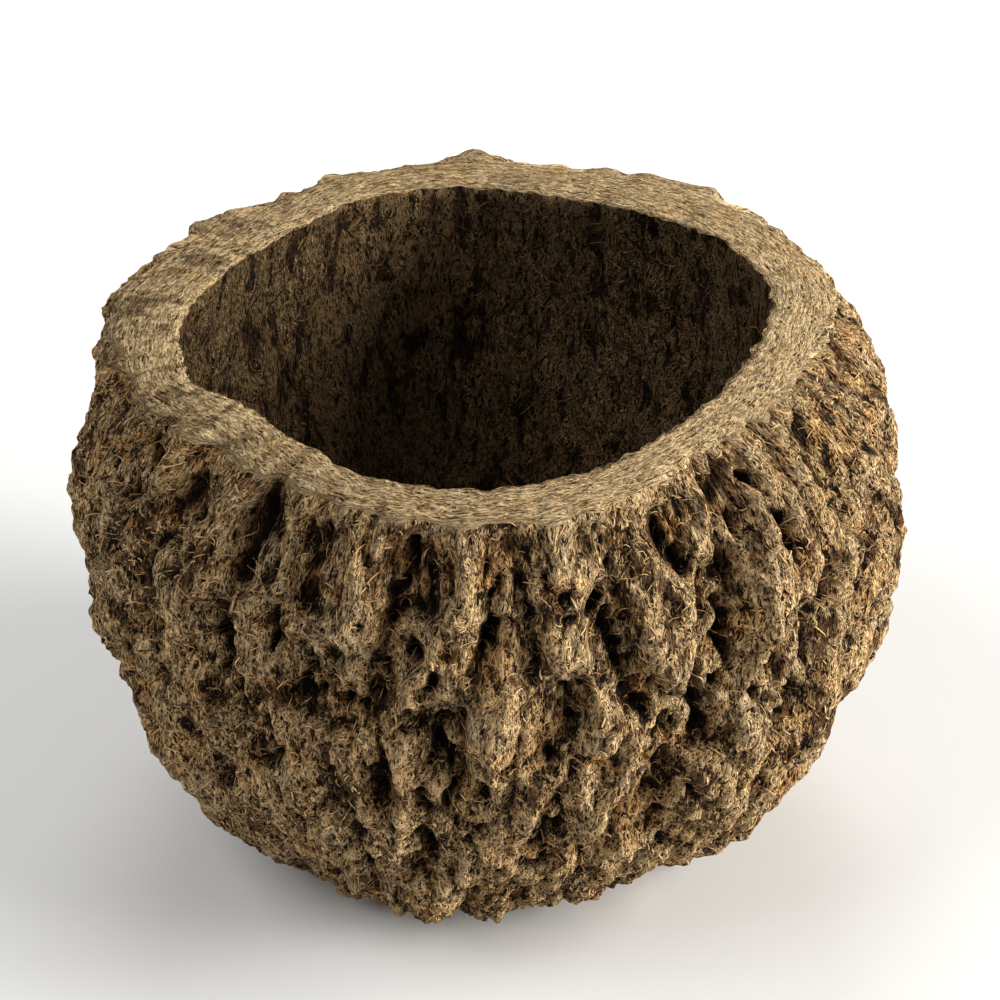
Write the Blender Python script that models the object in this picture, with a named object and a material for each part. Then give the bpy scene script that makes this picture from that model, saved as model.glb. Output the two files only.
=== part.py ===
"""A dried coconut pod: the thick fibrous husk of a coconut, cut off near the top and emptied.

Metres, +Z up. The pod stands on its small flat base at z = 0, with the middle of its outline
over the origin. Azimuths are degrees from the front, -Y, and positive towards +X.
"""

import bpy
import numpy as np

MM = 0.001

# Driving sizes of the husk
HEIGHT = 109 * MM
WIDEST_RADIUS = 80 * MM
WIDEST_HEIGHT = 65 * MM
BASE_RADIUS = 36 * MM
BASE_ROUNDING = 6.5 * MM
FOOT_RADIUS = 44.5 * MM
FOOT_WAVES = ((1, 3.4 * MM, 20),)
WIDEST_WAVES = ((1, 0.7 * MM, 90),)
FLANK_POWER = 2.1
SHOULDER_POWER = 4.0

# The mouth and the outer edge of the rim: a mean radius, waves round it given as how many
# in a turn, size, azimuth of a crest, and corners given as azimuth, size, width in degrees
MOUTH_RADIUS = 54.6 * MM
MOUTH_WAVES = (
    (1, 1.4 * MM, -107),
    (2, 1.5 * MM, -35),
    (3, 1.5 * MM, 1),
    (4, 1.7 * MM, 11),
    (5, 0.9 * MM, -15),
)
MOUTH_CORNERS = (
    (-70, 1.6 * MM, 8),
    (-52, -1.6 * MM, 8),
    (-22, 1.4 * MM, 7),
    (101, 1.0 * MM, 8),
)
RIM_RADIUS = 67.5 * MM
RIM_WAVES = (
    (1, 3.6 * MM, -161),
    (2, 1.7 * MM, -43),
    (3, 2.9 * MM, 6),
    (4, 2.0 * MM, 2),
)
RIM_SLOPE = 1.0 * MM
RIM_SAG = 1.6 * MM
RIM_WAVINESS = (0.7 * MM, 16 * MM)

# Where the outer part of the rim is worn down into a shoulder: azimuth, how far, width in degrees
RIM_SHOULDERS = ((-46, 2.4 * MM, 26), (-95, 1.6 * MM, 16))

# The hollow
FLOOR_THICKNESS = 17 * MM
HOLLOW_SWELL = 0.05
HOLLOW_POWERS = (3.0, 2.2)
HOLLOW_LOBES = 3
HOLLOW_LOBE_DEPTH = 1.2 * MM
HOLLOW_LOBE_CREST = 33

# Ridges inside, where the lobes meet: azimuth at the mouth, degrees to the floor, size, width
HOLLOW_RIDGES = (
    (-161, 37, 2.2 * MM, 7),
    (144, -12, 2.0 * MM, 6),
    (-8, 5, 1.6 * MM, 7),
)

# Relief: size, spacing across and along the fibres, and where in the noise it starts
HOLLOW_RELIEF = (1.1 * MM, 12 * MM, 36 * MM, 5.5)
SWELL = (4.0 * MM, 50 * MM, 62 * MM, 3.3)
RIBS = (4.8 * MM, 14 * MM, 75 * MM, 0.0)
KNOBS = (3.0 * MM, 12 * MM, 22 * MM, 11.1)
WANDER = (7.0 * MM, 34 * MM, 34 * MM, 7.7)
FOLD_HEIGHT = 3.2
FOLD_ROUNDNESS = 0.75
RELIEF_FADE = 24 * MM

# The relief grows calmer within this reach of the cut, down to this share
CALM_REACH = 9 * MM
CALM_SHARE = 0.3

# Rotted furrows and pits that stand out: azimuth and height of each end, width, depth
FURROWS = (
    (-35, 101, -34, 95, 7, 4.5),
    (-24, 101, -23, 94, 8, 4.5),
    (-48, 97, -47, 92, 8, 3.5),
    (-62, 101, -64, 96, 8, 3.5),
    (-8, 101, -8, 97, 8, 3.5),
    (-39, 80, -39, 68, 7, 3.5),
    (-35, 68, -32, 54, 7, 3.5),
    (-23, 80, -23, 72, 8, 4.0),
    (-46, 50, -45, 40, 8, 3.5),
    (-63, 50, -61, 38, 8, 3.5),
    (-6, 70, -6, 60, 7, 3.5),
    (-6, 60, -8, 32, 8, 4.5),
    (-18, 71, -11, 84, 6, 3.0),
    (17, 92, 18, 79, 7, 4.0),
    (18, 79, 25, 66, 7, 3.5),
    (30, 101, 31, 97, 8, 3.5),
    (40, 101, 35, 91, 8, 4.0),
    (34, 91, 34, 77, 8, 5.0),
    (34, 77, 31, 60, 9, 6.0),
    (45, 77, 39, 65, 7, 4.0),
    (53, 79, 45, 55, 7, 4.0),
    (62, 78, 61, 55, 8, 2.5),
    (26, 62, 24, 46, 7, 4.5),
    (24, 46, 16, 34, 7, 4.0),
    (11, 77, 9, 60, 7, 3.0),
    (15, 57, 8, 32, 7, 3.5),
    (23, 38, 36, 26, 7, 3.5),
    (12, 24, 44, 22, 6, 2.5),
    (12, 12, 44, 10, 14, 2.8),
    (64, 101, 60, 94, 8, 3.5),
    (-62, 76, -56, 58, 8, 4.0),
)
FURROW_EDGE = 0.55
STRAY_FURROWS = 46
STRAY_FRONT = 70
STRAY_TOPS = (24, 101)
STRAY_LENGTHS = (7, 22)
STRAY_WIDTHS = (7, 10)
STRAY_DEPTHS = (2.5, 4.5)
STRAY_LEAN = 4

# Bumps where ribs end in the cut rim: azimuth, how far out, width in degrees
RIM_KNOBS = (
    (-178, 4.5 * MM, 6),
    (143, 3.0 * MM, 6),
    (-131, 3.0 * MM, 6),
    (-154, 3.5 * MM, 5),
    (-104, 2.5 * MM, 6),
    (-66, 3.0 * MM, 6),
    (63, 2.0 * MM, 7),
    (115, -0.8 * MM, 14),
    (-91, 1.4 * MM, 10),
)
RIM_KNOB_REACH = 14 * MM

# How finely the faceted husk is cut up
COLUMNS = 160
FLANK_ROWS = 28
RIM_ROWS = 2
HOLLOW_ROWS = 10
FINE_STEPS = 240

SEED = 11
CHANCE = np.random.default_rng(SEED)
SHUFFLED = CHANCE.permutation(256)
SLOPES = CHANCE.normal(size=(256, 3))
SLOPES /= np.linalg.norm(SLOPES, axis=1)[:, None]


def smooth_step(value):
    value = np.clip(value, 0, 1)
    return value * value * (3 - 2 * value)


def lattice_noise(places):
    """Smooth noise between about -0.7 and 0.7, with one hill or dip to a unit."""
    cell = np.floor(places).astype(int)
    within = places - cell
    blend = within**3 * (within * (within * 6 - 15) + 10)
    total = np.zeros(places.shape[:-1])
    for corner in np.ndindex(2, 2, 2):
        x, y, z = np.moveaxis(cell + corner, -1, 0)
        slope = SLOPES[SHUFFLED[(SHUFFLED[(SHUFFLED[x % 256] + y) % 256] + z) % 256]]
        share = np.where(np.array(corner) == 1, blend, 1 - blend).prod(axis=-1)
        total += share * (slope * (within - corner)).sum(axis=-1)
    return total


def on_skin(azimuth, along, spacing_across, spacing_along, start=0.0):
    """Places in the noise. They follow the meridians, so that ribs close up at the foot."""
    azimuth, along = np.broadcast_arrays(azimuth, along)
    angle = np.radians(azimuth)
    across = WIDEST_RADIUS / spacing_across
    places = [across * np.sin(angle), -across * np.cos(angle), along / spacing_along]
    return np.stack(places, axis=-1) + start


def folds(places):
    """Rounded folds with sharp valleys between them, from -1 in a valley to about 1."""
    return FOLD_HEIGHT * np.abs(lattice_noise(places)) ** FOLD_ROUNDNESS - 1


def turn_between(azimuth, other):
    """Degrees from one azimuth to another, the short way."""
    return (azimuth - other + 180) % 360 - 180


def around(mean, waves, azimuth):
    """A radius that varies round the pod."""
    turns = [size * np.cos(count * np.radians(azimuth - crest)) for count, size, crest in waves]
    return mean + sum(turns)


def bumps(azimuth, listed):
    """Bumps that stand alone, each at its own azimuth."""
    total = np.zeros_like(azimuth, dtype=float)
    for crest, size, width in listed:
        total += size * np.exp(-((turn_between(azimuth, crest) / width) ** 2))
    return total


def mouth_radius(azimuth):
    return around(MOUTH_RADIUS, MOUTH_WAVES, azimuth) + bumps(azimuth, MOUTH_CORNERS)


def rim_height(azimuth):
    """The cut dips a little towards the front."""
    size, spacing = RIM_WAVINESS
    waviness = size * lattice_noise(on_skin(azimuth, 0, spacing, spacing))
    return HEIGHT - RIM_SAG * (0.5 + 0.5 * np.cos(np.radians(azimuth))) + waviness


def rim_slope(azimuth):
    """How far the outer edge of the cut lies below its inner edge."""
    return RIM_SLOPE + bumps(azimuth, RIM_SHOULDERS)


def even_rows(radius, height, count):
    """Columns of points resampled at even distances, and how far along each one is."""
    steps = np.hypot(np.diff(radius, axis=0), np.diff(height, axis=0))
    lengths = np.concatenate([np.zeros((1, radius.shape[1])), np.cumsum(steps, axis=0)])
    along = np.linspace(0, 1, count + 1)[:, None] * lengths[-1]
    even_radius, even_height = np.empty_like(along), np.empty_like(along)
    for column in range(radius.shape[1]):
        even_radius[:, column] = np.interp(along[:, column], lengths[:, column], radius[:, column])
        even_height[:, column] = np.interp(along[:, column], lengths[:, column], height[:, column])
    return even_radius, even_height, along


def outward(radius, height):
    """Unit normals of columns of points, to the right of the way they are walked."""
    run = np.gradient(radius, axis=0)
    rise = np.gradient(height, axis=0)
    length = np.hypot(run, rise)
    return rise / length, -run / length


def flank_form(azimuth):
    """The smooth outside, from the flat base up to the outer edge of the rim."""
    rim = around(RIM_RADIUS, RIM_WAVES, azimuth)
    top = rim_height(azimuth) - rim_slope(azimuth)
    height = np.linspace(0, 1, FINE_STEPS + 1)[:, None] * top
    below = (1 - np.minimum(height / WIDEST_HEIGHT, 1)) ** FLANK_POWER
    above = np.clip((height - WIDEST_HEIGHT) / (top - WIDEST_HEIGHT), 0, 1) ** SHOULDER_POWER
    rounding = (1 - np.minimum(height / BASE_ROUNDING, 1)) ** 2
    foot = around(FOOT_RADIUS, FOOT_WAVES, azimuth)
    widest = around(WIDEST_RADIUS, WIDEST_WAVES, azimuth)
    radius = widest - (widest - foot) * below - (widest - rim) * above
    return radius - (foot - BASE_RADIUS) * rounding, height


def hollow_form(azimuth):
    """The smooth inside, from the mouth down to the middle of the floor."""
    top = rim_height(azimuth)
    mouth = mouth_radius(azimuth)
    deep, wide = HOLLOW_POWERS
    angle = np.linspace(0, np.pi / 2, FINE_STEPS + 1)[:, None]
    depth = np.sin(angle) ** (2 / deep)
    lobes = HOLLOW_LOBE_DEPTH * np.cos(HOLLOW_LOBES * np.radians(azimuth - HOLLOW_LOBE_CREST))
    for crest, drift, size, width in HOLLOW_RIDGES:
        beside = turn_between(azimuth, crest + drift * depth)
        lobes = lobes - size * np.exp(-((beside / width) ** 2))
    radius = mouth * (1 + HOLLOW_SWELL * 4 * depth * (1 - depth)) + lobes * smooth_step(2 * depth)
    return radius * np.cos(angle) ** (2 / wide), top - (top - FLOOR_THICKNESS) * depth


def stray_furrows():
    """Furrows like the ones listed, scattered over the sides and the back."""
    found = []
    for _ in range(STRAY_FURROWS):
        azimuth = CHANCE.uniform(STRAY_FRONT, 360 - STRAY_FRONT)
        top = CHANCE.uniform(*STRAY_TOPS)
        lean = CHANCE.uniform(-STRAY_LEAN, STRAY_LEAN)
        length = CHANCE.uniform(*STRAY_LENGTHS)
        found.append((azimuth, top, azimuth + lean, top - length))
        found[-1] += (CHANCE.uniform(*STRAY_WIDTHS), CHANCE.uniform(*STRAY_DEPTHS))
    return tuple(found)


def furrow_depth(azimuth, height, furrows):
    """How deep the deepest furrow goes at each point of the skin."""
    deepest = np.zeros_like(height)
    scale = np.radians(1) * WIDEST_RADIUS
    for start_azimuth, start, end_azimuth, end, width, depth in furrows:
        across = turn_between(azimuth, start_azimuth) * scale
        up = height - start * MM
        way_across = turn_between(end_azimuth, start_azimuth) * scale
        way_up = (end - start) * MM
        share = (across * way_across + up * way_up) / (way_across**2 + way_up**2)
        share = np.clip(share, 0, 1)
        gap = np.hypot(across - share * way_across, up - share * way_up)
        depths = depth * MM * smooth_step((1 - gap / (width * MM)) / FURROW_EDGE)
        deepest = np.maximum(deepest, depths)
    return deepest


def skin_relief(azimuth, height, along, furrows):
    """How far the weathered skin stands out from the smooth form."""
    shift = WANDER[0] * lattice_noise(on_skin(azimuth, along, *WANDER[1:]))
    leaning = azimuth + np.degrees(shift / WIDEST_RADIUS)
    out = SWELL[0] * lattice_noise(on_skin(azimuth, along, *SWELL[1:]))
    out += 0.5 * RIBS[0] * folds(on_skin(leaning, along, *RIBS[1:]))
    out += 0.5 * KNOBS[0] * folds(on_skin(leaning, along, *KNOBS[1:]))
    out -= furrow_depth(azimuth, height, furrows)
    out *= 1 - (1 - CALM_SHARE) * smooth_step(1 - (along[-1] - along) / CALM_REACH)
    near_rim = smooth_step(1 - (HEIGHT - height) / RIM_KNOB_REACH)
    out += bumps(azimuth, RIM_KNOBS) * near_rim
    return out * smooth_step(along / RELIEF_FADE)


def placed(azimuth, radius, height):
    """Rows of columns of points in space."""
    azimuth, radius, height = np.broadcast_arrays(azimuth, radius, height)
    angle = np.radians(azimuth)
    return np.stack([radius * np.sin(angle), -radius * np.cos(angle), height], axis=-1)


def flank_points(azimuth, rows):
    radius, height, along = even_rows(*flank_form(azimuth), rows)
    side, up = outward(radius, height)
    side[-1], up[-1] = 1, 0
    out = skin_relief(azimuth, height, along, stray_furrows() + FURROWS)
    return placed(azimuth, radius + out * side, height + out * up)


def rim_points(azimuth, skin_edge, rows):
    """The cut face, from next to the skin's own edge up to the mouth."""
    outer = np.hypot(skin_edge[:, 0], skin_edge[:, 1])
    mouth = mouth_radius(azimuth)
    share = np.linspace(0, 1, rows + 1)[1:, None]
    height = rim_height(azimuth) - rim_slope(azimuth) * (1 - share) ** 2
    return placed(azimuth, outer + (mouth - outer) * share, height)


def hollow_points(azimuth, rows):
    radius, height, along = even_rows(*hollow_form(azimuth), rows + 1)
    side, up = outward(radius, height)
    out = HOLLOW_RELIEF[0] * lattice_noise(on_skin(azimuth, along, *HOLLOW_RELIEF[1:]))
    out *= np.clip(radius / MOUTH_RADIUS, 0, 1)
    return placed(azimuth, radius + out * side, height + out * up)[1:-1]


def bridge(faces, lower, upper):
    """Quads between two rings with the same number of points."""
    for column in range(len(lower)):
        beside = (column + 1) % len(lower)
        faces.append((lower[column], lower[beside], upper[beside], upper[column]))


def halve(faces, fine, coarse):
    """Triangles between a ring and one with half its points."""
    for column in range(len(coarse)):
        first, middle, last = (fine[(2 * column + step) % len(fine)] for step in range(3))
        beside = (column + 1) % len(coarse)
        faces.append((first, middle, coarse[column]))
        faces.append((middle, coarse[beside], coarse[column]))
        faces.append((middle, last, coarse[beside]))


def husk_mesh():
    """One closed surface: base, flank, rim, hollow and floor."""
    azimuth = np.arange(COLUMNS) * 360 / COLUMNS
    flank = flank_points(azimuth, FLANK_ROWS)
    rim = rim_points(azimuth, flank[-1], RIM_ROWS)
    hollow = hollow_points(azimuth[::2], HOLLOW_ROWS)
    points, rings = [], []
    for row in (*flank, *rim, *hollow):
        rings.append(range(len(points), len(points) + len(row)))
        points.extend(row)
    faces = [tuple(reversed(rings[0]))]
    for lower, upper in zip(rings, rings[1:]):
        join = bridge if len(lower) == len(upper) else halve
        join(faces, lower, upper)
    faces.append(tuple(rings[-1]))
    return np.array(points), faces


def centred(points):
    """The points moved sideways, so that the middle of their outline is over the origin."""
    middle = (points.min(axis=0) + points.max(axis=0)) / 2
    return points - middle * (1, 1, 0)


def husk_material():
    material = bpy.data.materials.new("weathered_husk")
    material.use_nodes = True
    shader = material.node_tree.nodes["Principled BSDF"]
    shader.inputs["Base Color"].default_value = (0.165, 0.105, 0.055, 1.0)
    shader.inputs["Roughness"].default_value = 0.9
    shader.inputs["Metallic"].default_value = 0.0
    return material


def main():
    for obj in list(bpy.data.objects):
        bpy.data.objects.remove(obj)
    points, faces = husk_mesh()
    mesh = bpy.data.meshes.new("husk")
    mesh.from_pydata(centred(points).tolist(), [], faces)
    mesh.materials.append(husk_material())
    mesh.shade_smooth()
    bpy.context.collection.objects.link(bpy.data.objects.new("husk", mesh))


main()
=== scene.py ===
"""The looks of a dried coconut pod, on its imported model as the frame.

Metres, +Z up. The pod stands on its small flat base at z = 0. Azimuths are degrees from the
front, -Y, and positive towards +X. One fine closed body stands for the plain husk, with the
rotted skin, the cut rim and the matted lining as its three finishes, and loose fibres lie on
all of them.
"""

from collections import namedtuple

import bpy
import numpy as np
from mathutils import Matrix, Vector


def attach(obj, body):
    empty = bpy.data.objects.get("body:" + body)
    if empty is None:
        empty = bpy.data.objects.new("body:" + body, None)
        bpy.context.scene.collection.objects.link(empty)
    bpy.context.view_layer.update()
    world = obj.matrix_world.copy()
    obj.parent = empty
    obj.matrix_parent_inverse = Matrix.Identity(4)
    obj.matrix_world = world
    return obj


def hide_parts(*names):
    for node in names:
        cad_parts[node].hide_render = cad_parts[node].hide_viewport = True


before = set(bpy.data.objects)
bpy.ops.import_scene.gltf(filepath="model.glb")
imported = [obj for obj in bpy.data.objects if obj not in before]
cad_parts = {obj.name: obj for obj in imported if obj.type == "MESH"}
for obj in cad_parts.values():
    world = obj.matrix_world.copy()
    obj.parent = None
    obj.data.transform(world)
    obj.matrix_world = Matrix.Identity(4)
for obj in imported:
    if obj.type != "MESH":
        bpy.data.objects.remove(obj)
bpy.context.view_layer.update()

MM = 0.001

# Driving sizes of the husk
HEIGHT = 109 * MM
WIDEST_RADIUS = 80 * MM
WIDEST_HEIGHT = 65 * MM
BASE_RADIUS = 36 * MM
BASE_ROUNDING = 6.5 * MM
FOOT_RADIUS = 44.5 * MM
FOOT_WAVES = ((1, 3.4 * MM, 20),)
WIDEST_WAVES = ((1, 0.7 * MM, 90),)
FLANK_POWER = 2.1
SHOULDER_POWER = 4.0

# The mouth and the outer edge of the rim: a mean radius, waves round it given as how many
# in a turn, size, azimuth of a crest, and corners given as azimuth, size, width in degrees
MOUTH_RADIUS = 54.6 * MM
MOUTH_WAVES = (
    (1, 1.4 * MM, -107),
    (2, 1.5 * MM, -35),
    (3, 1.5 * MM, 1),
    (4, 1.7 * MM, 11),
    (5, 0.9 * MM, -15),
)
MOUTH_CORNERS = (
    (-70, 1.6 * MM, 8),
    (-52, -1.6 * MM, 8),
    (-22, 1.4 * MM, 7),
    (101, 1.0 * MM, 8),
)
RIM_RADIUS = 67.5 * MM
RIM_WAVES = (
    (1, 3.6 * MM, -161),
    (2, 1.7 * MM, -43),
    (3, 2.9 * MM, 6),
    (4, 2.0 * MM, 2),
)
RIM_SLOPE = 1.0 * MM
RIM_SAG = 1.6 * MM
RIM_WAVINESS = (0.7 * MM, 16 * MM)

# Where the outer part of the rim is worn down into a shoulder: azimuth, how far, width in degrees
RIM_SHOULDERS = ((-46, 2.4 * MM, 26), (-95, 1.6 * MM, 16))

# The hollow
FLOOR_THICKNESS = 17 * MM
HOLLOW_SWELL = 0.05
HOLLOW_POWERS = (3.0, 2.2)
HOLLOW_LOBES = 3
HOLLOW_LOBE_DEPTH = 1.2 * MM
HOLLOW_LOBE_CREST = 33

# Ridges inside, where the lobes meet: azimuth at the mouth, degrees to the floor, size, width
HOLLOW_RIDGES = (
    (-161, 37, 2.2 * MM, 7),
    (144, -12, 2.0 * MM, 6),
    (-8, 5, 1.6 * MM, 7),
)

# Relief: size, spacing across and along the fibres, and where in the noise it starts
HOLLOW_RELIEF = (1.1 * MM, 12 * MM, 36 * MM, 5.5)
SWELL = (4.0 * MM, 50 * MM, 62 * MM, 3.3)
RIBS = (4.8 * MM, 14 * MM, 75 * MM, 0.0)
KNOBS = (3.0 * MM, 12 * MM, 22 * MM, 11.1)
WANDER = (7.0 * MM, 34 * MM, 34 * MM, 7.7)
FOLD_HEIGHT = 3.2
FOLD_ROUNDNESS = 0.75
RELIEF_FADE = 24 * MM

# The relief grows calmer within this reach of the cut, down to this share
CALM_REACH = 9 * MM
CALM_SHARE = 0.3

# Rotted furrows and pits that stand out: azimuth and height of each end, width, depth
FURROWS = (
    (-35, 101, -34, 95, 7, 4.5),
    (-24, 101, -23, 94, 8, 4.5),
    (-48, 97, -47, 92, 8, 3.5),
    (-62, 101, -64, 96, 8, 3.5),
    (-8, 101, -8, 97, 8, 3.5),
    (-39, 80, -39, 68, 7, 3.5),
    (-35, 68, -32, 54, 7, 3.5),
    (-23, 80, -23, 72, 8, 4.0),
    (-46, 50, -45, 40, 8, 3.5),
    (-63, 50, -61, 38, 8, 3.5),
    (-6, 70, -6, 60, 7, 3.5),
    (-6, 60, -8, 32, 8, 4.5),
    (-18, 71, -11, 84, 6, 3.0),
    (17, 92, 18, 79, 7, 4.0),
    (18, 79, 25, 66, 7, 3.5),
    (30, 101, 31, 97, 8, 3.5),
    (40, 101, 35, 91, 8, 4.0),
    (34, 91, 34, 77, 8, 5.0),
    (34, 77, 31, 60, 9, 6.0),
    (45, 77, 39, 65, 7, 4.0),
    (53, 79, 45, 55, 7, 4.0),
    (62, 78, 61, 55, 8, 2.5),
    (26, 62, 24, 46, 7, 4.5),
    (24, 46, 16, 34, 7, 4.0),
    (11, 77, 9, 60, 7, 3.0),
    (15, 57, 8, 32, 7, 3.5),
    (23, 38, 36, 26, 7, 3.5),
    (12, 24, 44, 22, 6, 2.5),
    (12, 12, 44, 10, 14, 2.8),
    (64, 101, 60, 94, 8, 3.5),
    (-62, 76, -56, 58, 8, 4.0),
)

# The share of a furrow's width in which it goes down to its full depth
FURROW_EDGE = 0.55

# Furrows and cracks scattered over the sides and the back: how far from the front they start
# and how far they lean, in degrees, how many, and ranges of their top, length, width and depth
STRAY_FRONT = 70
STRAY_LEAN = 4
Strays = namedtuple("Strays", "count tops lengths widths depths")
STRAY_FURROWS = Strays(46, (24, 101), (7, 22), (7, 10), (2.5, 4.5))
STRAY_CRACKS = Strays(70, (20, 103), (4, 14), (2.6, 4.4), (3.0, 4.8))

# Bumps where ribs end in the cut rim: azimuth, how far out, width in degrees
RIM_KNOBS = (
    (-178, 4.5 * MM, 6),
    (143, 3.0 * MM, 6),
    (-131, 3.0 * MM, 6),
    (-154, 3.5 * MM, 5),
    (-104, 2.5 * MM, 6),
    (-66, 3.0 * MM, 6),
    (63, 2.0 * MM, 7),
    (115, -0.8 * MM, 14),
    (-91, 1.4 * MM, 10),
)
RIM_KNOB_REACH = 14 * MM

# Finer relief, too small for the plain husk, given in the same way
CRUMBS = (1.6 * MM, 4.8 * MM, 9.0 * MM, 31.7)
CURLS = (1.1 * MM, 2.4 * MM, 4.6 * MM, 43.1)
GRIT = (0.55 * MM, 1.6 * MM, 2.6 * MM, 57.9)
CURL_WANDER = (2.4 * MM, 10 * MM, 10 * MM, 21.3)
RIM_LUMPS = (5.0 * MM, 8.0 * MM, 9.0 * MM, 149.7)
RIM_RIPPLES = (0.5 * MM, 7.0 * MM, 2.6 * MM, 81.9)
RIM_GRIT = (0.45 * MM, 2.2 * MM, 1.6 * MM, 93.3)
RAGGED_MOUTH = (1.3 * MM, 3.7 * MM, 2.0 * MM, 97.1)
LINING_FOLDS = (0.8 * MM, 4.5 * MM, 12 * MM, 101.7)
LINING_GRIT = (0.5 * MM, 1.9 * MM, 5.0 * MM, 113.9)

# Pores and the patches of them, in the same way, how open they are everywhere and more so under
# the rim, and the noise where one starts and where it is as deep as it gets
PORES = (1.7 * MM, 3.4 * MM, 6.0 * MM, 71.3)
SMALL_PORES = (1.0 * MM, 2.2 * MM, 4.4 * MM, 77.7)
PORE_PATCHES = (2.0, 24 * MM, 24 * MM, 63.7)
PORES_OPEN = 0.35
PORES_UNDER_RIM = 0.4
PORE_LIP = 0.16
PORE_BOTTOM = 0.42

# How far below the cut the skin turns level, grows calmer and is lumpy, how deep a dent there
# may be, how fast the mouth's raggedness fades, and how much of the fine relief the foot keeps
TOP_REACH = 18 * MM
FINE_CALM_REACH = CALM_REACH / 2
RIM_LUMP_REACH = 16 * MM
RIM_DENT = 0.5 * MM
MOUTH_POWER = 4
FOOT_SHARE = 0.25

# Narrow dark cracks: width, depth, and azimuth and height of the points that they run through
CRACKS = (
    (3.2, 3.5, (34, 90), (34, 80), (32, 72)),
    (5.4, 6.5, (33, 74), (31, 68), (31, 61)),
    (2.6, 3.0, (17, 90), (18, 79), (20, 72), (25, 66)),
    (3.0, 2.6, (40, 99), (34, 92)),
    (3.4, 4.0, (45, 76), (39, 66)),
    (3.6, 4.2, (53, 78), (49, 67), (45, 56)),
    (3.2, 4.0, (26, 64), (25, 51), (22, 43), (17, 36)),
    (2.8, 3.5, (11, 77), (11, 66), (8, 59)),
    (3.0, 3.8, (15, 57), (11, 48), (8, 33)),
    (2.0, 2.5, (9, 91), (15, 93), (18, 98)),
    (2.6, 4.0, (6, 29), (20, 26), (34, 25), (48, 29)),
    (2.2, 3.0, (14, 19), (30, 17), (46, 20)),
    (3.4, 4.0, (-62, 100), (-63, 94)),
    (3.0, 2.6, (-53, 103), (-51, 98)),
    (3.4, 3.0, (-48, 97), (-46, 91)),
    (3.0, 2.0, (-36, 103), (-33, 98)),
    (3.0, 1.8, (-25, 102), (-22, 97)),
    (2.6, 2.4, (-10, 102), (-8, 98)),
    (3.6, 3.5, (-12, 96), (-13, 92)),
    (3.4, 4.0, (-39, 79), (-39, 68)),
    (3.0, 3.5, (-34, 67), (-33, 60)),
    (4.0, 4.0, (-23, 79), (-24, 73)),
    (3.6, 4.0, (-31, 57), (-30, 49)),
    (3.2, 3.5, (-63, 48), (-61, 40)),
    (4.0, 4.5, (-47, 50), (-45, 41)),
    (2.6, 3.5, (-8, 86), (-12, 80), (-18, 72)),
    (3.4, 4.0, (-6, 84), (-8, 78), (-10, 68)),
    (4.2, 4.5, (-6, 68), (-6, 60), (-7, 47)),
    (3.6, 4.0, (-15, 58), (-14, 50)),
    (4.2, 4.5, (-8, 40), (-8, 30)),
    (3.0, 2.8, (7, 102), (10, 96)),
    (3.2, 2.8, (26, 102), (30, 96)),
    (3.4, 4.0, (45, 102), (47, 94)),
    (3.6, 4.5, (60, 102), (59, 90)),
    (3.4, 4.0, (69, 94), (67, 80)),
    (3.4, 4.0, (62, 74), (60, 58)),
    (3.2, 3.5, (2, 97), (1, 88)),
    (3.2, 3.5, (-30, 88), (-29, 82)),
    (3.4, 3.5, (-55, 72), (-54, 62)),
    (3.4, 3.5, (-70, 86), (-71, 76)),
    (3.2, 3.5, (-18, 40), (-17, 30)),
    (3.0, 3.0, (-24, 30), (-22, 22)),
    (3.2, 3.5, (1, 60), (0, 50)),
    (3.0, 3.5, (30, 44), (28, 34)),
    (3.0, 3.5, (38, 48), (36, 40)),
)

# The same share for cracks, how ragged their edges are, and where and how far they are open
CRACK_EDGE = 0.8
CRACK_RAGGEDNESS = (3.2 * MM, 2.8 * MM, 3.2 * MM, 125.3)
CRACK_BREAKS = (2.4, 4.0 * MM, 7.0 * MM, 137.9)
CRACKS_OPEN = 0.5

# How finely the body is cut up
COLUMNS = 648
FLANK_ROWS = 118
RIM_ROWS = 9
HOLLOW_ROWS = 44
BASE_RINGS = 3
FINE_STEPS = 480
PLAIN_COLUMNS = 160
PLAIN_ROWS = 28

# How wide a neighbourhood a point is compared with to tell pits from crests
PIT_REACH = 6 * MM
GAP_REACH = 2 * MM
PIT_SCALE = 3 * MM
GAP_SCALE = 1 * MM

# Parts of the body from the underside over the rim to the hollow's floor: steps from ring to
# ring, number of the finish, and strips of the sheet given as left, bottom, width, height
Part = namedtuple("Part", "steps finish strips")
PARTS = (
    Part(BASE_RINGS, 0, ((0.005, 0.905, 0.95, 0.09),)),
    Part(
        FLANK_ROWS,
        0,
        ((0.005, 0.005, 0.49, 0.405), (0.505, 0.005, 0.49, 0.405), (0.005, 0.42, 0.49, 0.405)),
    ),
    Part(RIM_ROWS, 1, ((0.005, 0.835, 0.99, 0.06),)),
    Part(HOLLOW_ROWS, 2, ((0.505, 0.42, 0.49, 0.405),)),
)

# Small discs of the sheet for the faces in the middle of the underside and of the floor
UNDERSIDE_DISC = (0.975, 0.93)
FLOOR_DISC = (0.975, 0.97)
DISC_RADIUS = 0.012

# Faces between two rings, by how many times as many points the upper ring has: columns of the
# corners, counted on the finer ring, and which of the corners are on the upper ring
FACE_PATTERNS = {
    1.0: (((0, 1, 1, 0),), ((0, 0, 1, 1),)),
    0.5: (((0, 1, 0), (1, 2, 0), (1, 2, 2)), ((0, 0, 1), (0, 1, 1), (0, 0, 1))),
    2.0: (((0, 1, 0), (0, 2, 1), (2, 2, 1)), ((0, 1, 1), (0, 0, 1), (0, 1, 1))),
}

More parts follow.
